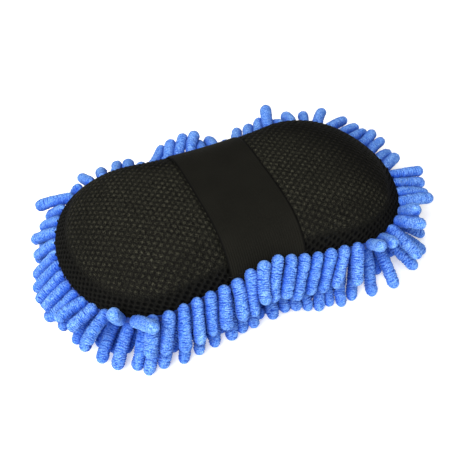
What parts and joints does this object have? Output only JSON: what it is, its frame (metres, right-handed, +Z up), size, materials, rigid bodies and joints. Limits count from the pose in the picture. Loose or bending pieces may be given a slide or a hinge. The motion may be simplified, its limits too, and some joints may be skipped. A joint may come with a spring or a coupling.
{
  "type": "wash mitt",
  "caption": "Pad-type chenille wash mitt: figure-eight sponge under a black spacer-mesh top, blue chenille noodles round the sides and sole, and an elastic strap that lifts for the hand.",
  "frame": {"origin": "on the supporting surface, under the middle of the pad", "axes": "+X along the pad, +Y across it, away from the user, +Z up through the strap"},
  "size_m": [0.274, 0.1592, 0.0647],
  "materials": {
    "chenille": "matte",
    "backing_fabric": "matte",
    "spacer_mesh": "matte",
    "elastic_webbing": "matte",
    "sewing_thread": "satin",
    "foam": "matte"
  },
  "bodies": {
    "pad": {"foam_core": "foam", "mesh_top_panel": "spacer_mesh", "backing_cloth": "backing_fabric", "seam_stitches": "sewing_thread", "strap_end_front": "elastic_webbing", "strap_end_back": "elastic_webbing", "strap_stitches_front": "sewing_thread", "strap_stitches_back": "sewing_thread", "noodles_upper_front": "chenille", "noodles_upper_back": "chenille", "noodles_upper_left": "chenille", "noodles_upper_right": "chenille", "noodles_lower_front": "chenille", "noodles_lower_back": "chenille", "noodles_lower_left": "chenille", "noodles_lower_right": "chenille", "noodles_sole_edge_front": "chenille", "noodles_sole_edge_back": "chenille", "noodles_sole_edge_left": "chenille", "noodles_sole_edge_right": "chenille", "noodles_sole_middle": "chenille", "noodles_sole_inner": "chenille", "noodles_sole_centre": "chenille"},
    "strap": {"strap_span": "elastic_webbing"}
  },
  "joints": [
    {"name": "strap_lift", "type": "slide", "parent": "pad", "child": "strap", "axis": [0, 0, 1], "range_m": [0, 0.03], "stiffness_N_per_m": 200, "springref_m": -0.004}
  ]
}
